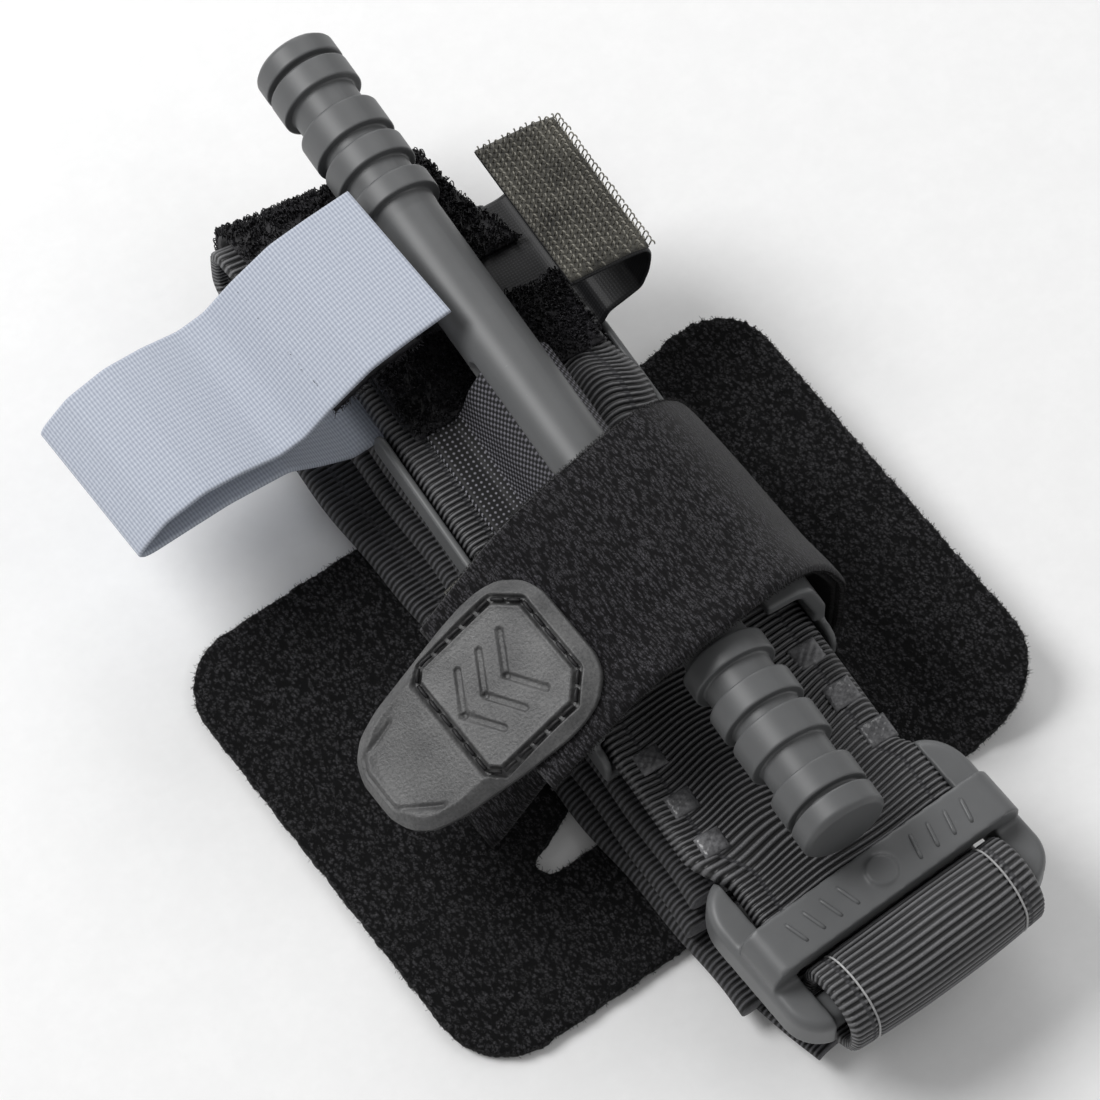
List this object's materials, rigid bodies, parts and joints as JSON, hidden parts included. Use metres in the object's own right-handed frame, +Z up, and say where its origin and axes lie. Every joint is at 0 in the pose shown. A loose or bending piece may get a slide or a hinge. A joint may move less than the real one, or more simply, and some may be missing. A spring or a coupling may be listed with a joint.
{
  "type": "windlass tourniquet",
  "caption": "Limb tourniquet with a windlass rod, folded flat and held in a hook-and-loop carrier with a rubber pull tab.",
  "frame": {"origin": "middle of the carrier panel's back face", "axes": "+Y along the windlass rod, away from the buckle; +Z up from the surface the carrier lies on; +X towards the side where the carrier's strap is sewn on"},
  "size_m": [0.1088, 0.1751, 0.04],
  "materials": {
    "brushed_loop": "brushed nylon loop fabric, dyed black, low sheen",
    "loop_lining": "flat knitted lining, dyed black",
    "hook_field": "moulded nylon hooks, satin, brownish grey",
    "tab_rubber": "moulded rubber, fine grain",
    "thread": "bonded polyester thread",
    "ribbed_webbing": "ribbed nylon sleeve webbing",
    "plate_plastic": "moulded acetal, satin",
    "clip_plastic": "moulded acetal, satin",
    "rod_plastic": "glass filled nylon, satin with fine grain",
    "inner_webbing": "dense basket weave webbing",
    "coarse_loop": "unnapped coarse loop tape",
    "tape_black": "smooth woven tape",
    "time_webbing": "light twill tape with a soft sheen",
    "buckle_plastic": "moulded acetal, satin"
  },
  "bodies": {
    "packed_band": {"carrier_panel": "brushed_loop", "band_low_fold": "ribbed_webbing", "band_mid_fold": "ribbed_webbing", "band_high_fold": "ribbed_webbing", "band_tail": "ribbed_webbing", "band_far_turn": "ribbed_webbing", "band_top_run": "ribbed_webbing", "base_plate": "plate_plastic", "windlass_clip": "clip_plastic", "inner_band": "inner_webbing", "loop_patch_near": "coarse_loop", "loop_patch_far": "coarse_loop", "base_tape": "tape_black", "time_strap": "time_webbing"},
    "windlass": {"windlass_rod": "rod_plastic"},
    "strap_lid": {"carrier_strap": "brushed_loop", "carrier_strap_lining": "loop_lining", "strap_hook_patch": "hook_field", "pull_tab": "tab_rubber", "pull_tab_thread": "thread"},
    "tongue": {"carrier_tongue": "brushed_loop"},
    "time_flap": {"time_strap_flap": "time_webbing", "time_strap_hooks": "hook_field"},
    "tab_flap": {"hook_tab": "tape_black", "hook_tab_hooks": "hook_field"},
    "buckle_end": {"buckle": "buckle_plastic", "band_roll": "ribbed_webbing"}
  },
  "joints": [
    {"name": "windlass_turn", "type": "hinge", "parent": "packed_band", "child": "windlass", "pos_m": [0.0077, 0.0267, 0.031], "axis": [0, 0, 1], "range_deg": [-4, 1]},
    {"name": "carrier_strap_open", "type": "hinge", "parent": "packed_band", "child": "strap_lid", "pos_m": [0.03176, 0.00244, 0.0029], "axis": [-0.0767, 0.9971, 0], "range_deg": [0, 60]},
    {"name": "carrier_tongue_open", "type": "hinge", "parent": "packed_band", "child": "tongue", "pos_m": [-0.02891, -0.00222, 0.0028], "axis": [0.0767, -0.9971, 0], "range_deg": [0, 33]},
    {"name": "time_strap_open", "type": "hinge", "parent": "packed_band", "child": "time_flap", "pos_m": [-0.05065, 0.057, 0.0244], "axis": [0.0767, -0.9971, 0], "range_deg": [0, 110]},
    {"name": "hook_tab_lift", "type": "hinge", "parent": "packed_band", "child": "tab_flap", "pos_m": [0.0346, 0.0573, 0.0295], "axis": [0, 1, 0], "range_deg": [0, 80]},
    {"name": "buckle_tilt", "type": "hinge", "parent": "packed_band", "child": "buckle_end", "pos_m": [0.00971, -0.04684, 0.0143], "axis": [-0.9954, -0.0958, 0], "range_deg": [-3, 5]}
  ],
  "couplings": [
    {"joint": "carrier_tongue_open", "follows": "carrier_strap_open", "ratio": 0.5}
  ]
}
